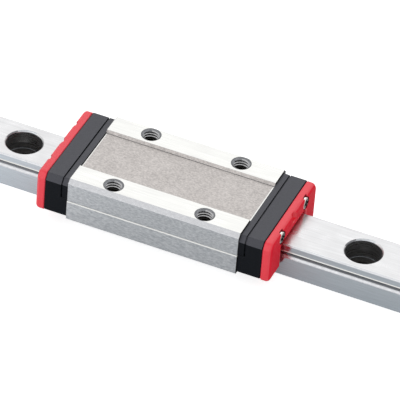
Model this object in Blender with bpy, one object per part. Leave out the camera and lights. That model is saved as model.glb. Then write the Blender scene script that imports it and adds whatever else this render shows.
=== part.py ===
import math

import bmesh
import bpy
from mathutils import Vector

# Miniature linear guide: a ground steel rail with one ball groove along each side, and a long
# carriage that rolls on it. Two closed ball circuits run between the rail and the carriage, back
# through bores in the steel block, and round half-moon guides in the plastic end caps.
# Lengths are in metres. X runs along the rail, Y across it and Z up from its base.

# Rail
RAIL_LENGTH = 0.115
RAIL_WIDTH = 0.009
RAIL_HEIGHT = 0.0065
RAIL_TOP_CHAMFER = 0.00025
RAIL_BOTTOM_CHAMFER = 0.0004
STRIP_GAP = 0.0001
STRIP_PROUD = 0.00002
RAIL_HOLE_PITCH = 0.020
RAIL_HOLE_END_MARGIN = 0.005
RAIL_HOLE_DIAMETER = 0.0035
COUNTERBORE_DIAMETER = 0.006
COUNTERBORE_DEPTH = 0.0035
COUNTERBORE_RIM = 0.00025

# Balls and their grooves
BALL_DIAMETER = 0.0015875
GROOVE_HEIGHT = 0.00455
GROOVE_DEPTH = 0.0003
GROOVE_RELIEF = 0.00002
RUNNING_GAP = 0.00002
ROW_SPACING = 0.0028
RETURN_GAP = 0.00012
BALL_NECK_DIAMETER = 0.0003

# Steel block of the carriage
CARRIAGE_REST_X = -0.0028
BLOCK_LENGTH = 0.0299
BLOCK_WIDTH = 0.020
BLOCK_BOTTOM = 0.002
BLOCK_TOP = 0.010
BLOCK_TOP_CHAMFER = 0.0007
BLOCK_BOTTOM_CHAMFER = 0.0003
LEDGE_HEIGHT = 0.0058
LEDGE_STEP = 0.00012
LEDGE_CHAMFER = 0.0001
LEDGE_RELIEF_DEPTH = 0.00008
LEDGE_RELIEF_HEIGHT = 0.00018
RECESS_WIDTH = 0.0107
RECESS_DEPTH = 0.0005
RECESS_SLOPE = 0.0003
CHANNEL_TOP_GAP = 0.0004
CHANNEL_CORNER = 0.0003
CHANNEL_MOUTH_CHAMFER = 0.0003
TAPPED_PITCH_X = 0.016
TAPPED_PITCH_Y = 0.015
TAPPED_DIAMETER = 0.0025
TAPPED_DEPTH = 0.003
TAPPED_RIM = 0.00045

# End units: return plate, end cap and seal
SEAT_GAP = 0.00002
UNIT_SIDE_INSET = 0.0003
UNIT_TOP_INSET = 0.0004
UNIT_CORNER_SIDE = 0.0008
UNIT_CORNER_DROP = 0.0011
UNIT_FOOT_CHAMFER = 0.0002
PLATE_THICKNESS = 0.00125
PLATE_BOTTOM = 0.006
SEAM_WIDTH = 0.00025
SEAM_DEPTH = 0.0003
CAP_DEPTH = 0.0041
CAP_BOTTOM_INSET = 0.00045
CAP_RAIL_GAP = 0.0002
GUIDE_FLANGE = 0.0002
GUIDE_GAP = 0.00003
SEAL_THICKNESS = 0.00156
SEAL_BOTTOM_INSET = 0.00005
SEAL_BEVEL = 0.0007
SEAL_OPENING_SIDE = 0.0007
SEAL_OPENING_TOP = 0.0005
LIP_THICKNESS = 0.0005
LIP_GAP = 0.00005
VALLEY_WIDTH = 0.0009
VALLEY_DEPTH = 0.0005
VALLEY_FOOT = 0.0081
PORT_HEIGHT = 0.0088
PORT_DIAMETER = 0.0007
PORT_DEPTH = 0.0006

# Screws that hold the end units on the block
SCREW_SPACING = 0.010
SCREW_HEIGHT = 0.0082
SCREW_HEAD_DIAMETER = 0.0021
SCREW_HEAD_HEIGHT = 0.0005
SCREW_SHANK_DIAMETER = 0.0012
SCREW_HOLE_GAP = 0.0001
SCREW_THREAD_GAP = 0.00003
SCREW_ENGAGEMENT = 0.0024
SCREW_HOLE_SPARE = 0.0003
SCREW_NOTCH_GAP = 0.0001
SCREW_SEAT_DEPTH = 0.00047
CROSS_LENGTH = 0.0012
CROSS_WIDTH = 0.00028
CROSS_DEPTH = 0.0003

# Wires that keep the balls in the block when it is off its rail
WIRE_DIAMETER = 0.00024
WIRE_RAIL_GAP = 0.00013
WIRE_BALL_GAP = 0.00003
WIRE_BEND_RADIUS = 0.0003
WIRE_REACH = 0.0009
WIRE_LEG = 0.0009
WIRE_SLOT_GAP = 0.00004

# Smoothness of round shapes
GROOVE_STEPS = 4
HOLE_SIDES = 24
SMALL_SIDES = 12
BALL_SIDES = 8
TURN_SIDES = 24
BEND_STEPS = 3
CUT_SPARE = 0.001

# Ball and groove geometry. Each Gothic groove is two arcs, whose centres lie a little past the
# ball's, so that a ball meets each arc at 45 degrees.
ball_radius = BALL_DIAMETER / 2
groove_radius = ball_radius + RUNNING_GAP + GROOVE_RELIEF
groove_shift = GROOVE_RELIEF * math.sqrt(0.5)
groove_reach = math.sqrt(groove_radius ** 2 - groove_shift ** 2) - groove_shift
face_to_ball = groove_reach - GROOVE_DEPTH
rail_face = RAIL_WIDTH / 2 - STRIP_PROUD
ball_y = rail_face + face_to_ball
channel_y = ball_y + face_to_ball
turn_radius = ROW_SPACING / 2
turn_y = ball_y + turn_radius
tube_radius = ball_radius + RETURN_GAP
guide_half_height = tube_radius + GUIDE_FLANGE

# Places along the carriage, from its middle, and the common outline of its end units.
block_end = BLOCK_LENGTH / 2
unit_start = block_end + SEAT_GAP
plate_end = block_end + PLATE_THICKNESS
cap_end = block_end + CAP_DEPTH
seal_start = cap_end + SEAT_GAP
seal_end = seal_start + SEAL_THICKNESS
screw_seat_x = seal_end - SCREW_SEAT_DEPTH
unit_half = BLOCK_WIDTH / 2 - UNIT_SIDE_INSET
unit_top = BLOCK_TOP - UNIT_TOP_INSET
cap_bottom = BLOCK_BOTTOM + CAP_BOTTOM_INSET
seal_bottom = BLOCK_BOTTOM + SEAL_BOTTOM_INSET


def clear_scene():
    for old in list(bpy.data.objects):
        bpy.data.objects.remove(old, do_unlink=True)


def make_material(name, colour, roughness, metallic):
    material = bpy.data.materials.new(name)
    material.use_nodes = True
    shader = material.node_tree.nodes["Principled BSDF"]
    shader.inputs["Base Color"].default_value = (*colour, 1.0)
    shader.inputs["Roughness"].default_value = roughness
    shader.inputs["Metallic"].default_value = metallic
    material.diffuse_color = (*colour, 1.0)
    return material


def mesh_object(name, shape, material=None):
    # The finished mesh of one piece, round walls smooth and real edges sharp.
    bmesh.ops.recalc_face_normals(shape, faces=shape.faces)
    mesh = bpy.data.meshes.new(name)
    shape.to_mesh(mesh)
    shape.free()
    piece = bpy.data.objects.new(name, mesh)
    bpy.context.scene.collection.objects.link(piece)
    if material:
        mesh.materials.append(material)
    return piece


def smooth_round_faces(piece):
    piece.data.shade_smooth()
    piece.data.set_sharp_from_angle(angle=math.radians(32))


def combine(piece, tools):
    # Cuts each tool out of the piece and leaves the tools behind.
    for tool in tools:
        step = piece.modifiers.new(tool.name, "BOOLEAN")
        step.operation = "DIFFERENCE"
        step.solver = "EXACT"
        step.object = tool
    bpy.context.view_layer.update()
    graph = bpy.context.evaluated_depsgraph_get()
    result = bpy.data.meshes.new_from_object(piece.evaluated_get(graph))
    piece.modifiers.clear()
    piece.data = result
    for tool in tools:
        bpy.data.objects.remove(tool, do_unlink=True)
    return piece


def place(piece, carrier, location=(0, 0, 0), turned=False):
    # Turned pieces are the same part at the other end, half a turn about the vertical.
    piece.location = location
    piece.rotation_euler = (0, 0, math.pi if turned else 0)
    piece.parent = carrier
    smooth_round_faces(piece)
    return piece


def copy_of(piece, name):
    twin = bpy.data.objects.new(name, piece.data)
    bpy.context.scene.collection.objects.link(twin)
    return twin


def mirrored(points):
    # The other half of an outline, which carries on where this half ends.
    return [(-across, up) for across, up in reversed(points)]


def draw_outline(outline, start, end, along="X"):
    # An outline drawn along an axis: YZ pairs along X, XZ pairs along Y or XY pairs along Z.
    # Gives the solid and the corners of its far face.
    first, second = {"X": (1, 2), "Y": (0, 2), "Z": (0, 1)}[along]
    drawn = "XYZ".index(along)
    shape = bmesh.new()
    corners = []
    for pair in outline:
        corner = Vector()
        corner[first], corner[second], corner[drawn] = *pair, start
        corners.append(shape.verts.new(corner))
    extruded = bmesh.ops.extrude_face_region(shape, geom=[shape.faces.new(corners)])
    far = [item for item in extruded["geom"] if isinstance(item, bmesh.types.BMVert)]
    travel = Vector()
    travel[drawn] = end - start
    bmesh.ops.translate(shape, verts=far, vec=travel)
    return shape, far


def prism(name, outline, start, end, material=None, along="X"):
    shape, far = draw_outline(outline, start, end, along)
    return mesh_object(name, shape, material)


def turned_shape(shape, profile, steps, axis, centre, sweep=math.tau):
    # A profile of (radius, height) pairs spun about an axis through the centre.
    axis = Vector(axis)
    outward = Vector((0, 0, 1)) if abs(axis.z) < 0.5 else Vector((0, -1, 0))
    points = [shape.verts.new(Vector(centre) + outward * radius + axis * height) for radius, height in profile]
    edges = [shape.edges.new(pair) for pair in zip(points, points[1:])]
    full = sweep >= math.tau
    bmesh.ops.spin(shape, geom=points + edges, cent=centre, axis=axis, angle=sweep, steps=steps, use_merge=full)
    bmesh.ops.remove_doubles(shape, verts=shape.verts, dist=1e-7)
    if not full:
        open_edges = [edge for edge in shape.edges if edge.is_boundary]
        bmesh.ops.contextual_create(shape, geom=open_edges)
    return shape


def lofted(shape, rings, across, sides, closed=False):
    # Circles of (centre, axis, radius) joined one after another. The path lies in a plane, and
    # across is that plane's normal.
    across = Vector(across)
    loops = []
    for centre, axis, radius in rings:
        third = axis.cross(across).normalized()
        loop = []
        for side in range(sides):
            angle = math.tau * side / sides
            offset = across * math.cos(angle) + third * math.sin(angle)
            loop.append(shape.verts.new(centre + offset * radius))
        loops.append(loop)
    pairs = list(zip(loops, loops[1:]))
    if closed:
        pairs.append((loops[-1], loops[0]))
    for near, far in pairs:
        for side in range(sides):
            following = (side + 1) % sides
            shape.faces.new((near[side], near[following], far[following], far[side]))
    if not closed:
        shape.faces.new(loops[0])
        shape.faces.new(loops[-1])
    return shape


def groove_points(depth_side):
    # One Gothic groove seen along the rail, from its lower lip to its upper one. It is cut
    # inwards into the rail with -1 and outwards into the block with +1.
    edge = math.acos((face_to_ball + groove_shift) / groove_radius)
    cusp = math.asin(groove_shift / groove_radius)
    upper = []
    for step in range(GROOVE_STEPS + 1):
        angle = cusp + (edge - cusp) * step / GROOVE_STEPS
        reach = groove_radius * math.cos(angle) - groove_shift
        rise = groove_radius * math.sin(angle) - groove_shift
        upper.append((reach, rise))
    lower = [(reach, -rise) for reach, rise in reversed(upper[1:])]
    return [(ball_y + depth_side * reach, GROOVE_HEIGHT + rise) for reach, rise in lower + upper]


def rail_outline():
    half = RAIL_WIDTH / 2
    # The locating strip of each side, which a machine's shoulder touches, ends under the carriage.
    # It stands a hair proud of the side above it.
    strip_top = BLOCK_BOTTOM - STRIP_GAP
    side = [
        (half - RAIL_BOTTOM_CHAMFER, 0),
        (half, RAIL_BOTTOM_CHAMFER),
        (half, strip_top - STRIP_PROUD),
        (rail_face, strip_top),
    ]
    side += groove_points(-1)
    side += [
        (rail_face, RAIL_HEIGHT - RAIL_TOP_CHAMFER),
        (rail_face - RAIL_TOP_CHAMFER, RAIL_HEIGHT),
    ]
    return side + mirrored(side)


def grown(outline, gap):
    # An outline moved outwards by a gap, corners kept sharp.
    result = []
    for index, point in enumerate(outline):
        here = Vector(point)
        arriving = (here - Vector(outline[index - 1])).normalized()
        leaving = (Vector(outline[(index + 1) % len(outline)]) - here).normalized()
        first = Vector((arriving.y, -arriving.x))
        second = Vector((leaving.y, -leaving.x))
        moved = here + (first + second) * gap / (1 + first.dot(second))
        result.append((moved.x, moved.y))
    return result


def make_rail(steel):
    rail = prism("rail", rail_outline(), -RAIL_LENGTH / 2, RAIL_LENGTH / 2, steel)
    count = int((RAIL_LENGTH - 2 * RAIL_HOLE_END_MARGIN) / RAIL_HOLE_PITCH) + 1
    bore = COUNTERBORE_DIAMETER / 2
    step = RAIL_HEIGHT - COUNTERBORE_DEPTH
    profile = [
        (0, RAIL_HEIGHT + CUT_SPARE),
        (bore + COUNTERBORE_RIM + CUT_SPARE, RAIL_HEIGHT + CUT_SPARE),
        (bore, RAIL_HEIGHT - COUNTERBORE_RIM),
        (bore, step),
        (RAIL_HOLE_DIAMETER / 2, step),
        (RAIL_HOLE_DIAMETER / 2, -CUT_SPARE),
        (0, -CUT_SPARE),
    ]
    shape = bmesh.new()
    for index in range(count):
        middle = (index - (count - 1) / 2) * RAIL_HOLE_PITCH
        hole = turned_shape(bmesh.new(), profile, HOLE_SIDES, (0, 0, 1), (middle, 0, 0))
        mesh = bpy.data.meshes.new("rail_hole")
        hole.to_mesh(mesh)
        hole.free()
        shape.from_mesh(mesh)
    return combine(rail, [mesh_object("rail_holes", shape)])


def block_outline():
    half = BLOCK_WIDTH / 2
    upper = half - LEDGE_STEP
    ceiling = RAIL_HEIGHT + CHANNEL_TOP_GAP
    outside = [
        (channel_y + CHANNEL_MOUTH_CHAMFER, BLOCK_BOTTOM),
        (half - BLOCK_BOTTOM_CHAMFER, BLOCK_BOTTOM),
        (half, BLOCK_BOTTOM + BLOCK_BOTTOM_CHAMFER),
        (half, LEDGE_HEIGHT - LEDGE_CHAMFER),
        (half - LEDGE_CHAMFER, LEDGE_HEIGHT),
        (upper - LEDGE_RELIEF_DEPTH, LEDGE_HEIGHT),
        (upper, LEDGE_HEIGHT + LEDGE_RELIEF_HEIGHT),
        (upper, BLOCK_TOP - BLOCK_TOP_CHAMFER),
        (upper - BLOCK_TOP_CHAMFER, BLOCK_TOP),
        (RECESS_WIDTH / 2, BLOCK_TOP),
        (RECESS_WIDTH / 2 - RECESS_SLOPE, BLOCK_TOP - RECESS_DEPTH),
    ]
    channel = [(channel_y - CHANNEL_CORNER, ceiling), (channel_y, ceiling - CHANNEL_CORNER)]
    channel += list(reversed(groove_points(1)))
    channel += [(channel_y, BLOCK_BOTTOM + CHANNEL_MOUTH_CHAMFER)]
    return outside + mirrored(outside) + mirrored(channel) + channel


def round_tools(name, profile, sides, axis, centres):
    # One cutting tool that has the same turned shape at each of several places.
    shape = bmesh.new()
    for centre in centres:
        one = turned_shape(bmesh.new(), profile, sides, axis, centre)
        mesh = bpy.data.meshes.new(name)
        one.to_mesh(mesh)
        one.free()
        shape.from_mesh(mesh)
    return mesh_object(name, shape)


def make_block(steel):
    block = prism("carriage_block", block_outline(), -block_end, block_end, steel)
    tapped = TAPPED_DIAMETER / 2
    tapped_profile = [
        (0, CUT_SPARE),
        (tapped + TAPPED_RIM + CUT_SPARE, CUT_SPARE),
        (tapped, -TAPPED_RIM),
        (tapped, -TAPPED_DEPTH),
        (0, -TAPPED_DEPTH),
    ]
    corners = [
        (x_side * TAPPED_PITCH_X / 2, y_side * TAPPED_PITCH_Y / 2, BLOCK_TOP)
        for x_side in (-1, 1)
        for y_side in (-1, 1)
    ]
    reach = block_end + CUT_SPARE
    bore_profile = [(0, -reach), (tube_radius, -reach), (tube_radius, reach), (0, reach)]
    returns = [(0, side * (ball_y + ROW_SPACING), GROOVE_HEIGHT) for side in (-1, 1)]
    thread = SCREW_SHANK_DIAMETER / 2 + SCREW_THREAD_GAP
    depth = block_end - SCREW_ENGAGEMENT - SCREW_HOLE_SPARE
    tools = [
        round_tools("tapped_holes", tapped_profile, SMALL_SIDES, (0, 0, 1), corners),
        round_tools("return_bores", bore_profile, SMALL_SIDES, (1, 0, 0), returns),
    ]
    for end in (-1, 1):
        thread_profile = [(0, end * depth), (thread, end * depth), (thread, end * reach), (0, end * reach)]
        places = [(0, side * SCREW_SPACING / 2, SCREW_HEIGHT) for side in (-1, 1)]
        tools.append(round_tools("thread_holes", thread_profile, SMALL_SIDES, (1, 0, 0), places))
    return combine(block, tools)


def unit_outline(bottom, foot=0):
    # The outline that plate, cap and seal share. Only the cap's feet are chamfered.
    side = [(unit_half - foot, bottom), (unit_half, bottom + foot)] if foot else [(unit_half, bottom)]
    side += [(unit_half, unit_top - UNIT_CORNER_DROP), (unit_half - UNIT_CORNER_SIDE, unit_top)]
    return side + mirrored(side)


def rail_tool(name, gap):
    # Cuts the passage for the rail through an end unit's piece, with tongues in the rail's grooves.
    return prism(name, grown(rail_outline(), gap), block_end - CUT_SPARE, seal_end + CUT_SPARE)


def screw_hole_tool():
    radius = SCREW_SHANK_DIAMETER / 2 + SCREW_HOLE_GAP
    low, high = block_end - CUT_SPARE, seal_end + CUT_SPARE
    profile = [(0, low), (radius, low), (radius, high), (0, high)]
    places = [(0, side * SCREW_SPACING / 2, SCREW_HEIGHT) for side in (-1, 1)]
    return round_tools("screw_holes", profile, SMALL_SIDES, (1, 0, 0), places)


def make_return_plate(plastic):
    # The rim next to the cap is set back, which leaves the seam as a groove round the unit.
    shape, far = draw_outline(unit_outline(PLATE_BOTTOM), unit_start, plate_end - SEAM_WIDTH)
    inner = [face for face in shape.faces if all(vert in far for vert in face.verts)]
    bmesh.ops.inset_region(shape, faces=inner, thickness=SEAM_DEPTH, use_even_offset=True)
    drawn = bmesh.ops.extrude_face_region(shape, geom=inner)
    shape.faces.remove(inner[0])
    tip = [item for item in drawn["geom"] if isinstance(item, bmesh.types.BMVert)]
    bmesh.ops.translate(shape, verts=tip, vec=(SEAM_WIDTH, 0, 0))
    plate = mesh_object("return_plate_right", shape, plastic)
    return combine(plate, [rail_tool("rail_passage", CAP_RAIL_GAP), screw_hole_tool()])


def turn_profile(rim, half_height, bulge):
    # Section of a return turn about its upright axis: a disc with a round channel at its rim.
    # The channel stands out of the disc with bulge +1, as a pocket, and is cut into it with -1.
    edge_rise = math.sqrt(tube_radius ** 2 - (turn_radius - rim) ** 2)
    start = math.atan2(edge_rise, rim - turn_radius)
    finish = -start if bulge > 0 else 2 * math.pi - start
    arc = []
    steps = GROOVE_STEPS * 2
    for step in range(steps + 1):
        angle = start + (finish - start) * step / steps
        arc.append((turn_radius + tube_radius * math.cos(angle), tube_radius * math.sin(angle)))
    return [(0, half_height), (rim, half_height)] + arc + [(rim, -half_height), (0, -half_height)]


def turn_pocket_tool():
    profile = turn_profile(turn_radius, guide_half_height + GUIDE_GAP, 1)
    places = [(block_end, side * turn_y, GROOVE_HEIGHT) for side in (-1, 1)]
    return round_tools("turn_pockets", profile, TURN_SIDES, (0, 0, 1), places)


def make_end_cap(plastic):
    cap = prism("end_cap_right", unit_outline(cap_bottom, UNIT_FOOT_CHAMFER), unit_start, cap_end, plastic)
    above = [(unit_half + CUT_SPARE, PLATE_BOTTOM - SEAT_GAP), (unit_half + CUT_SPARE, unit_top + CUT_SPARE)]
    seat = prism("plate_seat", above + mirrored(above), block_end - CUT_SPARE, plate_end + SEAT_GAP)
    tools = [seat, rail_tool("rail_passage", CAP_RAIL_GAP), turn_pocket_tool(), screw_hole_tool(), wire_slot_tool()]
    return combine(cap, tools)


def make_return_guide(plastic):
    profile = turn_profile(turn_radius - GUIDE_GAP, guide_half_height, -1)
    shape = turned_shape(bmesh.new(), profile, TURN_SIDES // 2, (0, 0, 1), (0, 0, 0), math.pi)
    return mesh_object("return_guide_right_back", shape, plastic)


def seal_body(rubber):
    # A plate with the cap's outline, its outer rim bevelled wide.
    shape, far = draw_outline(unit_outline(seal_bottom), seal_start, seal_end)
    rim = [edge for edge in shape.edges if all(vert in far for vert in edge.verts)]
    bmesh.ops.bevel(shape, geom=rim, offset=SEAL_BEVEL, segments=2, profile=0.5, affect="EDGES", material=-1)
    return mesh_object("end_seal_right", shape, rubber)


def seal_opening_outline():
    # The wide part of the rail passage, outside the wiping lip.
    half = RAIL_WIDTH / 2 + SEAL_OPENING_SIDE
    top = RAIL_HEIGHT + SEAL_OPENING_TOP
    side = [(half, -CUT_SPARE), (half, top - SEAL_OPENING_SIDE), (half - SEAL_OPENING_SIDE, top)]
    return side + mirrored(side)


def valley_tool():
    # A short valley with sloping sides at the top of the seal. The grease port opens in it.
    outside = seal_end + CUT_SPARE
    floor = seal_end - VALLEY_DEPTH
    half = VALLEY_WIDTH / 2
    wide = half + VALLEY_DEPTH + CUT_SPARE
    outline = [(floor, -half), (outside, -wide), (outside, wide), (floor, half)]
    return prism("valley", outline, VALLEY_FOOT, unit_top + CUT_SPARE, along="Z")


def make_seal(rubber):
    far = seal_end + CUT_SPARE
    wide = prism("wide_passage", seal_opening_outline(), seal_start + LIP_THICKNESS, far)
    port_floor = seal_end - VALLEY_DEPTH - PORT_DEPTH
    port_profile = [(0, port_floor), (PORT_DIAMETER / 2, port_floor), (PORT_DIAMETER / 2, far), (0, far)]
    port = round_tools("port", port_profile, SMALL_SIDES, (1, 0, 0), [(0, 0, PORT_HEIGHT)])
    notch = SCREW_HEAD_DIAMETER / 2 + SCREW_NOTCH_GAP
    notch_floor = screw_seat_x - SEAT_GAP
    notch_profile = [(0, notch_floor), (notch, notch_floor), (notch, far), (0, far)]
    places = [(0, side * SCREW_SPACING / 2, SCREW_HEIGHT) for side in (-1, 1)]
    notches = round_tools("screw_notches", notch_profile, HOLE_SIDES, (1, 0, 0), places)
    tools = [wide, rail_tool("lip_passage", LIP_GAP), valley_tool(), port, notches, screw_hole_tool()]
    return combine(seal_body(rubber), tools)


def make_screw(steel):
    # Pan head with a cross slot, seated at the origin and pointing inwards along -X.
    head = SCREW_HEAD_DIAMETER / 2
    shank = SCREW_SHANK_DIAMETER / 2
    length = screw_seat_x - block_end + SCREW_ENGAGEMENT
    crown = []
    steps = 3
    for step in range(steps + 1):
        angle = math.pi / 2 * step / steps
        crown.append((head * (0.55 + 0.45 * math.cos(angle)), SCREW_HEAD_HEIGHT * (0.45 + 0.55 * math.sin(angle))))
    profile = [(0, -length), (shank * 0.7, -length), (shank, shank * 0.3 - length), (shank, 0), (head, 0)]
    profile += crown + [(0, SCREW_HEAD_HEIGHT)]
    shape = turned_shape(bmesh.new(), profile, SMALL_SIDES, (1, 0, 0), (0, 0, 0))
    screw = mesh_object("seal_screw_right_back", shape, steel)
    arm, width = CROSS_LENGTH / 2, CROSS_WIDTH / 2
    quarter = [(arm, -width), (arm, width), (width, width)]
    cross = []
    for turn in range(4):
        angle = turn * math.pi / 2
        for across, up in quarter:
            y = across * math.cos(angle) - up * math.sin(angle)
            z = across * math.sin(angle) + up * math.cos(angle)
            cross.append((y, z))
    slot = prism("cross_slot", cross, SCREW_HEAD_HEIGHT - CROSS_DEPTH, SCREW_HEAD_HEIGHT + CUT_SPARE)
    return combine(screw, [slot])


def circuit_point(distance):
    # A point of the closed ball circuit, seen from above. The loaded row runs along +X beside the
    # rail, turns outwards at the block's end and comes back through the bore.
    lap = BLOCK_LENGTH + math.pi * turn_radius
    distance %= 2 * lap
    second_half = distance >= lap
    if second_half:
        distance -= lap
    if distance < BLOCK_LENGTH:
        x, y = distance - block_end, -turn_radius
    else:
        angle = (distance - BLOCK_LENGTH) / turn_radius
        x, y = block_end + turn_radius * math.sin(angle), -turn_radius * math.cos(angle)
    if second_half:
        x, y = -x, -y
    return Vector((x, turn_y + y, GROOVE_HEIGHT))


def next_ball(start, pitch):
    # How far along the circuit the next ball lies, when their centres are a pitch apart.
    low, high = pitch * 0.9, pitch * 1.6
    here = circuit_point(start)
    for halving in range(40):
        middle = (low + high) / 2
        if (circuit_point(start + middle) - here).length < pitch:
            low = middle
        else:
            high = middle
    return start + low


def ball_run(pitch, count):
    places = [0.0]
    for ball in range(count):
        places.append(next_ball(places[-1], pitch))
    return places


def ball_centres():
    # As many balls as the circuit holds, with what room is left shared between them.
    lap = 2 * (BLOCK_LENGTH + math.pi * turn_radius)
    count = int(lap / BALL_DIAMETER) + 1
    while ball_run(BALL_DIAMETER, count)[-1] > lap:
        count -= 1
    low, high = BALL_DIAMETER, BALL_DIAMETER * (count + 2) / count
    for halving in range(40):
        middle = (low + high) / 2
        if ball_run(middle, count)[-1] < lap:
            low = middle
        else:
            high = middle
    return [circuit_point(place) for place in ball_run(low, count)[:-1]]


def make_ball_train(steel):
    # Neighbouring balls touch, and a thin neck at each contact makes one closed chain of them.
    centres = ball_centres()
    slant = math.radians(48)
    along, radius = ball_radius * math.cos(slant), ball_radius * math.sin(slant)
    rings = []
    for index, centre in enumerate(centres):
        before = centres[index - 1]
        after = centres[(index + 1) % len(centres)]
        arriving = (centre - before).normalized()
        leaving = (after - centre).normalized()
        rings.append(((before + centre) / 2, arriving, BALL_NECK_DIAMETER / 2))
        rings.append((centre - arriving * along, arriving, radius))
        rings.append((centre, (arriving + leaving).normalized(), ball_radius))
        rings.append((centre + leaving * along, leaving, radius))
    shape = lofted(bmesh.new(), rings, (0, 0, 1), BALL_SIDES, closed=True)
    return mesh_object("ball_train_back", shape, steel)


def wire_rings(radius, spare):
    # A wire along the loaded row, just below the balls and close to the rail. Both ends bend down
    # into the end caps.
    wire_radius = WIRE_DIAMETER / 2
    y = rail_face + WIRE_RAIL_GAP + wire_radius
    apart = ball_radius + wire_radius + WIRE_BALL_GAP
    z = GROOVE_HEIGHT - math.sqrt(apart ** 2 - (ball_y - y) ** 2)
    bend_x = block_end + WIRE_REACH - WIRE_BEND_RADIUS
    foot = z - WIRE_LEG - spare
    half = [(Vector((bend_x + WIRE_BEND_RADIUS, y, foot)), Vector((0, 0, 1)), radius)]
    for step in range(BEND_STEPS + 1):
        angle = math.pi / 2 * step / BEND_STEPS
        x = bend_x + WIRE_BEND_RADIUS * math.cos(angle)
        drop = WIRE_BEND_RADIUS * (1 - math.sin(angle))
        axis = Vector((-math.sin(angle), 0, math.cos(angle)))
        half.append((Vector((x, y, z - drop)), axis, radius))
    other = []
    for centre, axis, size in reversed(half):
        other.append((Vector((-centre.x, centre.y, centre.z)), Vector((axis.x, 0, -axis.z)), size))
    return half + other


def make_wire(steel):
    shape = lofted(bmesh.new(), wire_rings(WIRE_DIAMETER / 2, 0), (0, 1, 0), BALL_SIDES)
    return mesh_object("ball_retainer_back", shape, steel)


def wire_slot_tool():
    shape = bmesh.new()
    rings = wire_rings(WIRE_DIAMETER / 2 + WIRE_SLOT_GAP, WIRE_SLOT_GAP)
    for side in (-1, 1):
        moved = [(Vector((centre.x, side * centre.y, centre.z)), axis, size) for centre, axis, size in rings]
        lofted(shape, moved, (0, 1, 0), BALL_SIDES)
    return mesh_object("wire_slots", shape)


def build_guide():
    clear_scene()
    ground_steel = make_material("ground_rail_steel", (0.80, 0.80, 0.79), 0.28, 1.0)
    block_steel = make_material("ground_block_steel", (0.84, 0.83, 0.81), 0.32, 1.0)
    black_plastic = make_material("moulded_black_plastic", (0.035, 0.036, 0.040), 0.45, 0.0)
    red_plastic = make_material("moulded_red_seal", (0.80, 0.035, 0.06), 0.38, 0.0)
    guide_plastic = make_material("natural_guide_plastic", (0.75, 0.73, 0.66), 0.42, 0.0)
    plated_steel = make_material("plated_screw_steel", (0.78, 0.78, 0.78), 0.16, 1.0)
    ball_steel = make_material("polished_ball_steel", (0.86, 0.86, 0.86), 0.07, 1.0)
    spring_steel = make_material("spring_wire_steel", (0.70, 0.70, 0.69), 0.24, 1.0)

    # The rail and the carriage stand on their own empties, which share the line of travel.
    base = bpy.data.objects.new("guide_base", None)
    carriage = bpy.data.objects.new("carriage_slide", None)
    for carrier in (base, carriage):
        bpy.context.scene.collection.objects.link(carrier)
    carriage.location = (CARRIAGE_REST_X, 0, 0)
    carriage.parent = base

    place(make_rail(ground_steel), base)
    place(make_block(block_steel), carriage)

    # Each end unit's piece is made once for the right end. The left one is the same part, turned.
    for piece in (make_return_plate(black_plastic), make_end_cap(black_plastic), make_seal(red_plastic)):
        place(copy_of(piece, piece.name.replace("right", "left")), carriage, turned=True)
        place(piece, carriage)

    guide = make_return_guide(guide_plastic)
    screw = make_screw(plated_steel)
    for end, along in (("right", 1), ("left", -1)):
        for side, across in (("back", 1), ("front", -1)):
            at_first = end == "right" and side == "back"
            one_guide = guide if at_first else copy_of(guide, f"return_guide_{end}_{side}")
            one_screw = screw if at_first else copy_of(screw, f"seal_screw_{end}_{side}")
            guide_place = (along * unit_start, across * turn_y, GROOVE_HEIGHT)
            screw_place = (along * screw_seat_x, across * SCREW_SPACING / 2, SCREW_HEIGHT)
            place(one_guide, carriage, guide_place, turned=along < 0)
            place(one_screw, carriage, screw_place, turned=along < 0)

    for piece in (make_ball_train(ball_steel), make_wire(spring_steel)):
        place(copy_of(piece, piece.name.replace("back", "front")), carriage, turned=True)
        place(piece, carriage)


build_guide()
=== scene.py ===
import math

import bmesh
import bpy
from mathutils import Matrix, Vector


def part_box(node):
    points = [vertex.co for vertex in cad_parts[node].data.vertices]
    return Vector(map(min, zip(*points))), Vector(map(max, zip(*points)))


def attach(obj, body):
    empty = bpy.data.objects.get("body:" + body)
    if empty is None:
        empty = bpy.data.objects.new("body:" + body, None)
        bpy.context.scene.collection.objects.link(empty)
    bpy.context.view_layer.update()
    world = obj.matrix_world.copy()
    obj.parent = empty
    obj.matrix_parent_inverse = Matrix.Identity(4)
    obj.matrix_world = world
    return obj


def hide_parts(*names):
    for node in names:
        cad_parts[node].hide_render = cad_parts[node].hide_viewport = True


# Looks of a miniature linear guide: ground steel rail, steel carriage, black end caps, red seals.
# Lengths in the dictionaries are written in millimetres.
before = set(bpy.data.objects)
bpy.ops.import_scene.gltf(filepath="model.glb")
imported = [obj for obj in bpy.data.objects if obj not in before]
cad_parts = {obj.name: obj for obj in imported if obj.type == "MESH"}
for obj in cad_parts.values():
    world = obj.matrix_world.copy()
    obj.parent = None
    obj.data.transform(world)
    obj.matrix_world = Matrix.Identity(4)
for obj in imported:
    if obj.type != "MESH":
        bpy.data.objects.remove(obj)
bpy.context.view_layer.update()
mm = 0.001
micron = 0.001 * mm
same = 0.1 * micron             # two points nearer than this are one
slack = 0.01 * mm               # how far a face may lie off the surface that it is looked up by
spare = 1 * mm                  # how far cutters run past what they cut

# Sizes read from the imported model. X runs along the rail, Y across it, Z up.
railLow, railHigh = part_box("rail")
blockLow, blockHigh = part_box("carriage_block")
plateLow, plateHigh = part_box("return_plate_right")
capLow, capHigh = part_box("end_cap_right")
sealLow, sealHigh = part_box("end_seal_right")
carriageX = (blockLow.x + blockHigh.x) / 2
blockEnd = blockHigh.x - carriageX


# Shared modelling steps

arcStep = math.radians(20)
sharpAngle = math.radians(34)   # edges that turn more than this stay sharp


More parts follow.
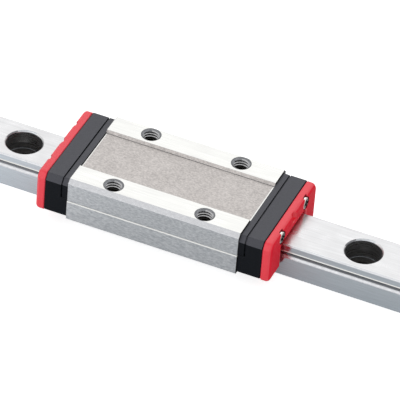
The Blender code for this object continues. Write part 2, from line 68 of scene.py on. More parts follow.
def rounded(corners):
    # outline from (across, up, radius) corners, each radius drawn as an arc
    points = []
    for index, (across, up, radius) in enumerate(corners):
        here = Vector((across, up))
        if radius == 0:
            points.append(here)
            continue
        before = (Vector(corners[index - 1][:2]) - here).normalized()
        after = (Vector(corners[(index + 1) % len(corners)][:2]) - here).normalized()
        half = before.angle(after) / 2
        centre = here + (before + after).normalized() * radius / math.sin(half)
        spoke = here + before * radius / math.tan(half) - centre
        turn = math.pi - 2 * half
        if (-before).cross(after) < 0:
            turn = -turn
        steps = max(2, math.ceil(abs(turn) / arcStep))
        for step in range(steps + 1):
            points.append(centre + Matrix.Rotation(turn * step / steps, 2) @ spoke)
    return points


def drawnOut(outline, start, end, along="X"):
    # a face on the outline, extruded along an axis
    first, second = {"X": (1, 2), "Y": (0, 2), "Z": (0, 1)}[along]
    depth = "XYZ".index(along)
    shape = bmesh.new()
    corners = []
    for point in outline:
        place = Vector()
        place[first], place[second], place[depth] = point[0], point[1], start
        corners.append(shape.verts.new(place))
    drawn = bmesh.ops.extrude_face_region(shape, geom=[shape.faces.new(corners)])
    far = [item for item in drawn["geom"] if isinstance(item, bmesh.types.BMVert)]
    travel = Vector()
    travel[depth] = end - start
    bmesh.ops.translate(shape, verts=far, vec=travel)
    return shape


def turned(profile, steps, along, centre, sweep=math.tau):
    # a (radius, height) profile spun about the X or Z axis through the centre
    shape = bmesh.new()
    outward, axis = {
        "X": (Vector((0, 0, 1)), Vector((1, 0, 0))),
        "Z": (Vector((0, -1, 0)), Vector((0, 0, 1))),
    }[along]
    points = []
    for radius, height in profile:
        points.append(shape.verts.new(Vector(centre) + outward * radius + axis * height))
    edges = [shape.edges.new(pair) for pair in zip(points, points[1:])]
    whole = sweep >= math.tau
    bmesh.ops.spin(
        shape, geom=points + edges, cent=centre, axis=axis, angle=sweep, steps=steps, use_merge=whole,
    )
    bmesh.ops.remove_doubles(shape, verts=shape.verts, dist=same)
    if not whole:
        bmesh.ops.contextual_create(shape, geom=[edge for edge in shape.edges if edge.is_boundary])
    return shape


def straightBore(radius, low, high, sides, centre):
    return turned([(0, low), (radius, low), (radius, high), (0, high)], sides, "X", centre)


def softenRim(shape, rim, width, segments=2):
    bmesh.ops.bevel(
        shape, geom=rim, offset=width, offset_type="OFFSET", segments=segments,
        profile=0.5, affect="EDGES", material=-1,
    )


def flatEnds(shape, positions):
    # the edges that lie in a plane across X, at any of the positions
    rim = []
    for edge in shape.edges:
        for position in positions:
            if all(abs(vert.co.x - position) < same for vert in edge.verts):
                rim.append(edge)
    return rim


def mirrorOf(corners):
    # the other half of an outline, in reverse so that it follows on
    return [(-corner[0], *corner[1:]) for corner in reversed(corners)]


def softenMesh(piece, pickRim, width, segments=2):
    # softens edges that only a cut has made
    shape = bmesh.new()
    shape.from_mesh(piece.data)
    softenRim(shape, pickRim(shape), width, segments)
    shape.to_mesh(piece.data)
    shape.free()


def linked(name, data):
    piece = bpy.data.objects.new(name, data)
    bpy.context.scene.collection.objects.link(piece)
    return piece


def asObject(name, shape, *materials):
    bmesh.ops.recalc_face_normals(shape, faces=shape.faces)
    mesh = bpy.data.meshes.new(name)
    shape.to_mesh(mesh)
    shape.free()
    for material in materials:
        mesh.materials.append(material)
    return linked(name, mesh)


def together(name, shapes, *materials):
    # several closed shapes in one mesh, for cutting them all at once
    whole = bmesh.new()
    for shape in shapes:
        bmesh.ops.recalc_face_normals(shape, faces=shape.faces)
        part = bpy.data.meshes.new(name)
        shape.to_mesh(part)
        shape.free()
        whole.from_mesh(part)
        bpy.data.meshes.remove(part)
    return asObject(name, whole, *materials)


def meshOf(piece):
    # the mesh that its modifiers or its curve give
    bpy.context.view_layer.update()
    graph = bpy.context.evaluated_depsgraph_get()
    return bpy.data.meshes.new_from_object(piece.evaluated_get(graph))


def carve(piece, *cutters):
    for cutter in cutters:
        step = piece.modifiers.new(cutter.name, "BOOLEAN")
        step.operation = "DIFFERENCE"
        step.solver = "EXACT"
        step.object = cutter
    result = meshOf(piece)
    piece.modifiers.clear()
    piece.data = result
    for cutter in cutters:
        bpy.data.objects.remove(cutter, do_unlink=True)


def tint(piece, *finishes):
    # each finish goes to the faces that its test picks by their middle and normal, and the last wins
    for material, picked in finishes:
        piece.data.materials.append(material)
        slot = len(piece.data.materials) - 1
        for face in piece.data.polygons:
            if picked(face.center, face.normal):
                face.material_index = slot


def slanted(share, least=0.2):
    # whether a face leans, from its normal's share of an axis
    return least < share < 0.95


def endFacing(normal):
    return abs(normal.x) > 0.9


def fit(piece, name, body, move=None):
    # puts a finished mesh in its place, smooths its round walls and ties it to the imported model
    piece.name = name
    piece.data.name = name
    piece.data.transform(move or Matrix.Identity(4))
    piece.data.shade_smooth()
    piece.data.set_sharp_from_angle(angle=sharpAngle)
    even = piece.modifiers.new("even_normals", "WEIGHTED_NORMAL")
    even.keep_sharp = True
    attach(piece, body)
    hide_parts(name.removesuffix("_look"))


def copyOf(piece, name):
    return linked(name, piece.data.copy())


def atEnd(end, x=0, y=0, z=0):
    # from the right end's own place to the right or the left end of the carriage
    turn = Matrix.Rotation(math.pi if end == "left" else 0, 4, "Z")
    return Matrix.Translation((carriageX, 0, 0)) @ turn @ Matrix.Translation((x, y, z))


# Materials

def colour(code):
    # sRGB hex to linear, with full alpha
    channels = [int(code[place:place + 2], 16) / 255 for place in (1, 3, 5)]
    return [c / 12.92 if c <= 0.04045 else ((c + 0.055) / 1.055) ** 2.4 for c in channels] + [1]


def addNode(material, kind, settings=None, links=None):
    tree = material.node_tree
    node = tree.nodes.new(kind)
    # plain options first, because they can change which sockets there are
    for name, value in (settings or {}).items():
        if isinstance(name, str) and name not in node.inputs:
            setattr(node, name, value)
    for name, value in (settings or {}).items():
        if isinstance(name, int) or name in node.inputs:
            node.inputs[name].default_value = value
    for name, source in (links or {}).items():
        tree.links.new(source, node.inputs[name])
    return node


def newMaterial(name, **shaderSettings):
    material = bpy.data.materials.new(name)
    material.use_nodes = True
    shader = material.node_tree.nodes["Principled BSDF"]
    for socket, value in shaderSettings.items():
        shader.inputs[socket.replace("_", " ")].default_value = value
    return material, shader


def reckoned(material, operation, *values):
    # a maths node; each value is a number or another node's output
    settings, links = {"operation": operation}, {}
    for index, value in enumerate(values):
        group = links if isinstance(value, bpy.types.NodeSocket) else settings
        group[index] = value
    return addNode(material, "ShaderNodeMath", settings, links).outputs["Value"]


def ranged(material, value, before=(0.0, 1.0), after=(0.0, 1.0), course="LINEAR"):
    # carries a value over from one range to another
    settings = {"interpolation_type": course, "From Min": before[0], "From Max": before[1]}
    settings |= {"To Min": after[0], "To Max": after[1]}
    return addNode(material, "ShaderNodeMapRange", settings, {"Value": value}).outputs["Result"]


# noise hardly leaves these ranges, so they are what is stretched from one finish to the other
grainRange = (0.32, 0.68)
cloudRange = (0.3, 0.7)


def grained(
    name, dark, light, smooth, rough, grain, depth,
    detail=4.0, metallic=1.0, cloud=None, brushed=0.0, **more,
):
    # A surface whose finish shows as a grain: noise stretched to the grain's size in mm along X, Y
    # and Z drives its colour, roughness and relief. Clouds are wide patches in the same roughness.
    # Brushed is how much more the grinding marks blur a reflection across X than along it.
    material, shader = newMaterial(name, Metallic=metallic, **more)
    place = addNode(material, "ShaderNodeTexCoord").outputs["Object"]
    scale = [1 / (size * mm) for size in grain]
    mapped = addNode(material, "ShaderNodeMapping", {"Scale": scale}, {"Vector": place})
    noise = addNode(
        material, "ShaderNodeTexNoise",
        {"Scale": 1.0, "Detail": detail, "Roughness": 0.6}, {"Vector": mapped.outputs["Vector"]},
    )
    level = ranged(material, noise.outputs["Fac"], grainRange)
    tone = addNode(
        material, "ShaderNodeMix",
        {"data_type": "RGBA", 6: colour(dark), 7: colour(light)}, {"Factor": level},
    )
    roughness = ranged(material, level, after=(rough, smooth))
    if cloud:
        patches = addNode(
            material, "ShaderNodeTexNoise",
            {"Scale": 1 / (cloud["size"] * mm), "Detail": 2.0}, {"Vector": place},
        )
        swing = (-cloud["swing"], cloud["swing"])
        patches = ranged(material, patches.outputs["Fac"], cloudRange, swing)
        roughness = reckoned(material, "ADD", roughness, patches)
    relief = addNode(
        material, "ShaderNodeBump", {"Strength": 1.0, "Distance": depth * mm}, {"Height": level},
    )
    link = material.node_tree.links.new
    if brushed:
        lay = addNode(material, "ShaderNodeTangent", {"direction_type": "RADIAL", "axis": "X"})
        shader.inputs["Anisotropic"].default_value = brushed
        link(lay.outputs["Tangent"], shader.inputs["Tangent"])
    link(tone.outputs[2], shader.inputs["Base Color"])
    link(roughness, shader.inputs["Roughness"])
    link(relief.outputs["Normal"], shader.inputs["Normal"])
    return material


# Hardened bearing steel, surface ground along the rail: pale grey, soft mirror drawn out in streaks.
railSteel = grained(
    "surface_ground_rail_steel", "#c1c1c2", "#cccccd", 0.28, 0.36, (7, 0.2, 0.2), 0.0003,
    cloud={"size": 3, "swing": 0.06}, brushed=0.7,
)
# Its sides and grooves, ground lengthwise by a form wheel: a reflection stays sharp along the
# rail while it is smeared across it. Their cooler colour, darker than the top's, is partly painted
# shade.
railSideSteel = grained(
    "form_ground_rail_side_steel_painted_shade", "#adb5bb", "#bcc3ca", 0.13, 0.20, (5, 0.16, 0.16), 0.0003,
    cloud={"size": 3, "swing": 0.03}, brushed=0.8,
)
# Painted shade: steel tinted dark grey on the track above the balls' line and in the
# corners that the cutters leave in the counterbores and along the recess.
darkShadeSteel = grained(
    "dark_painted_shade_steel", "#676a6e", "#7f8286", 0.14, 0.20, (9, 0.1, 0.1), 0.0004, brushed=0.7,
)
# Milled before hardening and never ground: greyer than the ground faces, on chamfers and lower tracks.
milledSteel = grained(
    "milled_edge_steel", "#b1b2b5", "#c3c4c7", 0.24, 0.32, (0.5, 0.3, 0.2), 0.0005, brushed=0.6,
)
# The same steel on the carriage's lands and the fine ledges, ground a little finer and left brighter.
# On the strips at the recess's ends it is painted highlight.
landSteel = grained(
    "surface_ground_land_steel", "#cdcdcb", "#d6d6d3", 0.26, 0.36, (6, 0.16, 0.16), 0.0005,
    cloud={"size": 6, "swing": 0.04}, brushed=0.5,
)
# Block sides ground on the wheel's face: cooler and duller, with short scratches along the block. Its
# darker colour is partly painted shade. On the counterbores' back rims it is painted shade.
shadedSideSteel = grained(
    "wheel_ground_side_steel_painted_shade", "#a0a4a9", "#c9cccf", 0.30, 0.42, (0.6, 0.22, 0.24), 0.0010,
    cloud={"size": 4, "swing": 0.05}, brushed=0.5,
)
# Shot-blasted recess: a warm matt speckle with no direction. The grit is drawn at 0.2 mm, coarser than
# real, so that it shows.
blastedSteel = grained(
    "blasted_recess_steel", "#a29e9c", "#c0bbb8", 0.48, 0.60, (0.35, 0.22, 0.3), 0.004, detail=5.0,
    cloud={"size": 3, "swing": 0.05},
)
# Holes drilled before hardening keep their dark heat scale: nearly black, dull. The same dark steel is
# painted shade on the block's ends, along the left plate and deep in the tapped holes.
scaleAndShadeSteel = grained(
    "heat_scale_and_painted_shade_steel", "#1d1c1c", "#3a3836", 0.42, 0.60, (0.5, 0.5, 0.2), 0.004, metallic=0.7,
)
# Counterbored by a piloted cutter: light steel with the cutter's rings round the wall. It looks dark
# where it mirrors the hole itself.
counterboreSteel = grained(
    "counterbored_steel", "#9c9c9e", "#dcdcdc", 0.24, 0.36, (6, 6, 0.22), 0.003,
)
# Countersunk by a blunt tool after hardening: chattered round the hole, its mid grey partly painted
# shade. At the left of the counterbores' rims it is painted shade.
shadedSunkSteel = grained(
    "countersunk_steel_painted_shade", "#626366", "#8c8d90", 0.24, 0.36, (0.3, 0.3, 0.1), 0.001,
)
# Tapped after hardening by a coated tap: grey flanks with a satin glint on each crest.
threadSteel = grained(
    "cut_thread_steel", "#9a9a9c", "#c4c4c4", 0.16, 0.26, (0.3, 0.3, 0.1), 0.001,
)
# Glass-filled nylon from a spark-eroded mould: near black, with a fine even sheen on its tops, which
# are lighter than the darker copy on the sides: painted light.
capPlastic = grained(
    "moulded_black_nylon", "#1d1e21", "#28292d", 0.40, 0.50, (0.18, 0.18, 0.18), 0.004,
    metallic=0.0, IOR=1.60, Specular_Tint=colour("#f0f1ff"),
)
# Painted shade: the same nylon on the sides, endways and under faces, deeper black with hardly any
# sheen.
shadedCapSidePlastic = grained(
    "black_nylon_sides_painted_shade", "#121519", "#1a1d22", 0.46, 0.56, (0.18, 0.18, 0.18), 0.003,
    metallic=0.0, IOR=1.53, Specular_IOR_Level=0.05,
)
# Polyurethane seal from a polished mould: saturated red, soft highlight along the bevel.
sealRubber = grained(
    "moulded_red_polyurethane", "#f82e40", "#fd3a4c", 0.34, 0.42, (0.25, 0.25, 0.25), 0.002,
    metallic=0.0, IOR=1.60,
)
# Its outer face, left matt by the mould's insert: the red stays deep where it is seen edge on.
sealFaceRubber = grained(
    "matt_red_polyurethane", "#f8263a", "#fd3044", 0.50, 0.60, (0.25, 0.25, 0.25), 0.002,
    metallic=0.0, IOR=1.50, Specular_IOR_Level=0.06,
)
# Painted shade: the same rubber darkened in the screw notches.
shadedRubber = grained(
    "red_polyurethane_painted_shade", "#5e0d16", "#7c1420", 0.30, 0.40, (0.2, 0.2, 0.2), 0.002,
    metallic=0.0, IOR=1.50, Specular_IOR_Level=0.1,
)
# Painted reflection: the crown of the screw heads, tinted dark.
darkReflectionNickel = grained(
    "nickel_crown_painted_reflection", "#3c3a38", "#565452", 0.16, 0.26, (0.2, 0.2, 0.2), 0.0006,
)
# Acetal, natural: milky white.
guidePlastic = grained(
    "natural_acetal", "#d6d2c4", "#e2dfd2", 0.36, 0.46, (0.3, 0.3, 0.3), 0.002,
    metallic=0.0, IOR=1.48,
)
# Bright nickel plate on a cold-headed screw: small hard reflections, nearly a mirror.
screwNickel = grained(
    "bright_nickel_plate", "#d4d2cd", "#e6e4df", 0.08, 0.16, (0.2, 0.2, 0.2), 0.0006,
)
# Painted shade: the punched cross recess, dark and dull.
shadedRecessNickel = grained(
    "nickel_recess_painted_shade", "#0e0d0d", "#1c1a19", 0.40, 0.55, (0.1, 0.1, 0.1), 0.002, metallic=0.6,
)
# Lapped bearing steel: a clean mirror.
ballSteel = grained(
    "lapped_ball_steel", "#c4c4c6", "#cfcfd0", 0.05, 0.09, (0.3, 0.3, 0.3), 0.0002,
)
# Hard-drawn spring wire: bright, with fine lines along it.
wireSteel = grained(
    "drawn_spring_wire", "#a9a9a8", "#c0c0bf", 0.20, 0.32, (1.5, 0.03, 0.03), 0.0006,
)
print("materials ready")


# Ball grooves, which rail and block share

balls = {
    "diameter": 1.5875 * mm,
    "rowHeight": 4.55 * mm,
    "rowSpacing": 2.8 * mm,
    "grooveDepth": 0.3 * mm,
    "clearance": 0.02 * mm,     # running gap to each groove
    "archShift": 0.02 * mm,     # how far each Gothic arc's middle lies past the ball's
    "grooveSteps": 9,
    "tubeGap": 0.12 * mm,       # round a ball on its way back
}
stripProud = 0.02 * mm          # the locating strip at the rail's foot, over the side above it
railFace = railHigh.y - stripProud
ballRadius = balls["diameter"] / 2
grooveRadius = ballRadius + balls["clearance"] + balls["archShift"]
grooveShift = balls["archShift"] * math.sqrt(0.5)
faceToBall = math.sqrt(grooveRadius ** 2 - grooveShift ** 2) - grooveShift - balls["grooveDepth"]
ballY = railFace + faceToBall
channelY = ballY + faceToBall
turnRadius = balls["rowSpacing"] / 2
turnY = ballY + turnRadius
tubeRadius = ballRadius + balls["tubeGap"]


def grooveOutline(side):
    # a Gothic arch from its lower lip to its upper one, cut into the rail with -1 and the block with +1
    edge = math.acos((faceToBall + grooveShift) / grooveRadius)
    cusp = math.asin(grooveShift / grooveRadius)
    upper = []
    for step in range(balls["grooveSteps"] + 1):
        angle = cusp + (edge - cusp) * step / balls["grooveSteps"]
        reach = grooveRadius * math.cos(angle) - grooveShift
        upper.append((reach, grooveRadius * math.sin(angle) - grooveShift))
    lower = [(reach, -rise) for reach, rise in reversed(upper[1:])]
    return [(ballY + side * reach, balls["rowHeight"] + rise, 0) for reach, rise in lower + upper]


# Rail

rail = {
    "topChamfer": 0.25 * mm,
    "bottomChamfer": 0.4 * mm,
    "edgeRadius": 0.1 * mm,
    "endChamfer": 0.07 * mm,
    "stripTop": 1.9 * mm,
    "stripSlope": 0.5 * mm,     # height over which the strip falls back to the side above it
    "upperStep": 0.12 * mm,     # the side over the groove is ground back to this ledge
    "upperStepHeight": 5.31 * mm,
    "backStep": 0.05 * mm,      # the back side is ground less
    "backChamfer": 0.07 * mm,
    "sideReach": 0.32 * mm,     # the side's finish goes this far in, over chamfer and groove
    "trackFoot": 3.85 * mm,
    # painted shade on the groove's upper track between these two heights
    "shadedTrackFoot": 4.42 * mm,
    "shadedTrackTop": 5.15 * mm,
    "holePitch": 20 * mm,
    "endToHole": 7.5 * mm,
    "boltHole": 3.5 * mm,
    "counterbore": 6.0 * mm,
    "counterboreDepth": 3.5 * mm,
    "holeRim": 0.25 * mm,
    "holeRimDepth": 0.3 * mm,
    "holeRimBend": 0.075 * mm,  # its last part is steeper
    "rimShadeEnd": 0.75 * mm,   # painted shade on the rim, from the left up to here
    "rimDarkEnd": -2.25 * mm,   # and darker painted shade up to here
    "boltRim": 0.04 * mm,
    "toolRadius": 0.12 * mm,    # the round that the counterboring tool leaves at the bottom
    "toolSag": 0.036 * mm,      # its middle, drawn as one more corner
    "holeSides": 72,
}


def railSide(grow, radius, step, chamfer):
    # half of the rail's section, made larger all round where it cuts a passage
    top, face, foot = railHigh.z + grow, railFace + grow, railHigh.y + grow
    strip = rail["stripTop"] + grow
    upper = face - step if grow == 0 else face
    ledge = rail["upperStepHeight"]
    return [
        (foot - rail["bottomChamfer"], -grow, radius),
        (foot, rail["bottomChamfer"], radius),
        (foot, strip - rail["stripSlope"], 0),
        (face, strip, 0),
        *grooveOutline(-1),
        (face, ledge - (face - upper), 0),
        (upper, ledge + micron, 0),
        (upper, top - chamfer, radius),
        (face - chamfer, top, radius),
    ]


def railOutline(grow=0.0, radius=0.0):
    back = railSide(grow, radius / 2, rail["backStep"], rail["backChamfer"])
    front = railSide(grow, radius, rail["upperStep"], rail["topChamfer"])
    return rounded(back + mirrorOf(front))


def railHoleCentres():
    first = railLow.x + rail["endToHole"]
    count = round((railHigh.x - rail["endToHole"] - first) / rail["holePitch"]) + 1
    return [first + index * rail["holePitch"] for index in range(count)]


def makeRail():
    shape = drawnOut(railOutline(radius=rail["edgeRadius"]), railLow.x, railHigh.x)
    softenRim(shape, flatEnds(shape, (railLow.x, railHigh.x)), rail["endChamfer"])
    steel = asObject("rail_look", shape, railSteel)
    top, bore, hole = railHigh.z, rail["counterbore"] / 2, rail["boltHole"] / 2
    floor = top - rail["counterboreDepth"]
    rim, bend, rimDepth = rail["holeRim"], rail["holeRimBend"], rail["holeRimDepth"]
    tool, sag, boltRim = rail["toolRadius"], rail["toolSag"], rail["boltRim"]
    profile = [
        (0, top + spare),
        (bore + rim + spare, top + spare),
        (bore + bend, top - rim + bend),
        (bore, top - rimDepth),
        (bore, floor + tool),
        (bore - sag, floor + sag),
        (bore - tool, floor),
        (hole + boltRim, floor),
        (hole, floor - boltRim),
        (hole, rim),
        (hole + rim + spare, -spare),
        (0, -spare),
    ]
    holes = [turned(profile, rail["holeSides"], "Z", (x, 0, 0)) for x in railHoleCentres()]
    carve(steel, together("rail_holes", holes))

    def fromHole(middle):
        # how far the nearest hole's middle is, along the rail and straight
        along = min((middle.x - x for x in railHoleCentres()), key=abs)
        return along, math.hypot(along, middle.y)

    def inHole(middle, normal):
        return fromHole(middle)[1] < bore + micron and 0 < middle.z < top - rim / 2

    def inBoltHole(middle, normal):
        return inHole(middle, normal) and middle.z < floor + tool

    # painted shade in the round at the counterbore's bottom
    def onToolRound(middle, normal):
        return inBoltHole(middle, normal) and middle.z > floor + micron

    # painted shade: a crescent on the back of each counterbore's rim, darker at its left end
    def onShadedRim(middle, normal):
        along, away = fromHole(middle)
        onSlope = bore - slack < away < bore + rim and top - rimDepth < middle.z < top - micron
        return onSlope and middle.y > 0 and along < rail["rimShadeEnd"]

    def onDarkRim(middle, normal):
        return onShadedRim(middle, normal) and fromHole(middle)[0] < rail["rimDarkEnd"]

    def onLedge(middle, normal):
        return abs(middle.z - rail["upperStepHeight"]) < rail["upperStep"] and slanted(normal.z)

    # the sides get the cooler, darker side finish, partly painted shade
    def onSide(middle, normal):
        outside = abs(middle.y) > railFace - rail["sideReach"] and abs(normal.y) > 0.1
        return outside or endFacing(normal)

    def onChamfer(middle, normal):
        outside = abs(middle.y) > bore + rim and middle.z > top - rail["topChamfer"]
        return outside and slanted(abs(normal.y))

    # painted shade: the groove's upper track is tinted dark grey
    def onUpperTrack(middle, normal):
        depth = railFace - abs(middle.y)
        inGroove = slack < depth < balls["grooveDepth"] + 2 * slack
        return inGroove and rail["shadedTrackFoot"] < middle.z < rail["shadedTrackTop"]

    def onLowerTrack(middle, normal):
        return rail["trackFoot"] < middle.z < rail["shadedTrackFoot"] and slanted(normal.z)
    tint(
        steel, (railSideSteel, onSide), (milledSteel, onChamfer), (darkShadeSteel, onUpperTrack),
        (milledSteel, onLowerTrack), (landSteel, onLedge), (counterboreSteel, inHole),
        (scaleAndShadeSteel, inBoltHole), (darkShadeSteel, onToolRound), (shadedSideSteel, onShadedRim),
        (shadedSunkSteel, onDarkRim),
    )
    return steel


fit(makeRail(), "rail_look", "rail_body")
print("rail ready")


# Steel block of the carriage

block = {
    "topChamfer": 0.7 * mm,
    "edgeRadius": 0.1 * mm,
    "endRound": 0.06 * mm,
    "bottomChamfer": 0.3 * mm,
    "ledgeHeight": 5.8 * mm,
    "ledgeStep": 0.12 * mm,
    "ledgeChamfer": 0.12 * mm,
    "reliefDepth": 0.08 * mm,
    "reliefHeight": 0.18 * mm,
    "recessWidth": 10.7 * mm,
    "recessDepth": 0.5 * mm,
    "recessSlope": 0.3 * mm,
    "plateShadowLine": 0.14 * mm,       # painted shadow along the left plate
    "leftHighlightStrip": 0.26 * mm,     # painted highlight: a strip of land finish next to each plate
    "rightHighlightStrip": 0.19 * mm,
    "recessEdge": 0.06 * mm,
    "sharpBand": 0.2 * mm,      # end edges from the recess floor to this far below it stay sharp
    "cornerCut": 0.06 * mm,     # the milling cutter's mark along the foot of each wall
    "milledDepth": 1.0 * mm,    # chamfers and walls down to here are milled
    "channelGap": 0.4 * mm,
    "channelCorner": 0.3 * mm,
    "mouthChamfer": 0.3 * mm,
    "screwHole": 1.26 * mm,
    "screwHoleDepth": 2.7 * mm,
    "screwSpacing": 10.0 * mm,
    "screwHeight": 8.2 * mm,
    "screwHoleSides": 24,
    "boreSides": 48,
}
tapped = {
    "pitchX": 16 * mm,
    "pitchY": 15 * mm,
    "crest": 2.5 * mm,          # inner diameter of the M3 thread
    "root": 2.92 * mm,
    "threadPitch": 0.5 * mm,
    "depth": 3.0 * mm,
    "drillShare": 0.96,         # of the crest
    "drillRise": 0.2 * mm,      # how far its cutter reaches over the surface
    "tipDepth": 0.6 * mm,
    "rim": 3.4 * mm,            # countersink at the surface
    "rimDepth": 0.26 * mm,
    "lipWidth": 0.04 * mm,      # it starts steeper
    "lipDepth": 0.05 * mm,
    "waistGap": 0.02 * mm,      # and ends round the thread's root, at this share of its depth
    "waistShare": 0.6,
    "sunkShare": 1.05,          # its finish runs a little way into the thread
    "shadeDepth": 1.5 * mm,    # painted shade: the thread is dark below this depth
    "sides": 60,
}


def blockOutline():
    half, top = blockHigh.y, blockHigh.z
    upper = half - block["ledgeStep"]
    ceiling = railHigh.z + block["channelGap"]
    ledge, radius = block["ledgeHeight"], block["edgeRadius"]
    floor = top - block["recessDepth"]
    recessFoot = block["recessWidth"] / 2 - block["recessSlope"]
    outside = [
        (channelY + block["mouthChamfer"], blockLow.z, radius),
        (half - block["bottomChamfer"], blockLow.z, radius),
        (half, blockLow.z + block["bottomChamfer"], radius),
        (half, ledge - block["ledgeChamfer"], 0),
        (half - block["ledgeChamfer"], ledge, 0),
        (upper - block["reliefDepth"], ledge, 0),
        (upper, ledge + block["reliefHeight"], 0),
        (upper, top - block["topChamfer"], radius),
        (upper - block["topChamfer"], top, radius),
        (block["recessWidth"] / 2, top, block["recessEdge"]),
        (recessFoot, floor, 0),
        (recessFoot, floor - block["cornerCut"], 0),
        (recessFoot - block["cornerCut"] * 2, floor, 0),
    ]
    channel = [
        (channelY - block["channelCorner"], ceiling, 0),
        (channelY, ceiling - block["channelCorner"], 0),
        *reversed(grooveOutline(1)),
        (channelY, blockLow.z + block["mouthChamfer"], radius),
    ]
    return rounded(outside + mirrorOf(outside) + mirrorOf(channel) + channel)


def screwPlaces(x=0):
    # on the end units' middle plane, back and front
    return [(x, side * block["screwSpacing"] / 2, block["screwHeight"]) for side in (-1, 1)]


def tappedCentres():
    return [
        Vector((sideX * tapped["pitchX"] / 2, sideY * tapped["pitchY"] / 2, blockHigh.z))
        for sideX in (-1, 1)
        for sideY in (-1, 1)
    ]


def threadCutter(centre):
    # one thread form spun with a rise of one pitch a turn, then trimmed flat at both ends
    crest, root, pitch = tapped["crest"] / 2, tapped["root"] / 2, tapped["threadPitch"]
    form = ((0, crest), (0.25, crest), (0.56, root), (0.69, root))   # heights in pitches
    turns = math.ceil((tapped["depth"] + spare) / pitch) + 3
    shape = bmesh.new()
    low = centre.z - tapped["depth"] - 1.5 * pitch
    points = []
    for turn in range(turns):
        for height, radius in form:
            place = (centre.x, centre.y - radius, low + turn * pitch + height * pitch)
            points.append(shape.verts.new(place))
    edges = [shape.edges.new(pair) for pair in zip(points, points[1:])]
    bmesh.ops.spin(
        shape, geom=points + edges, cent=centre, axis=(0, 0, 1), angle=math.tau,
        steps=tapped["sides"], dvec=(0, 0, pitch / tapped["sides"]),
    )
    bmesh.ops.remove_doubles(shape, verts=shape.verts, dist=same)
    for height, direction in ((centre.z - tapped["depth"], -1), (centre.z + spare / 2, 1)):
        bmesh.ops.bisect_plane(
            shape, geom=shape.verts[:] + shape.edges[:] + shape.faces[:],
            plane_co=(0, 0, height), plane_no=(0, 0, direction), clear_outer=True,
        )
        rim = [edge for edge in shape.edges if edge.is_boundary]
        rim = [edge for edge in rim if all(abs(vert.co.z - height) < same for vert in edge.verts)]
        bmesh.ops.contextual_create(shape, geom=rim)
    return shape


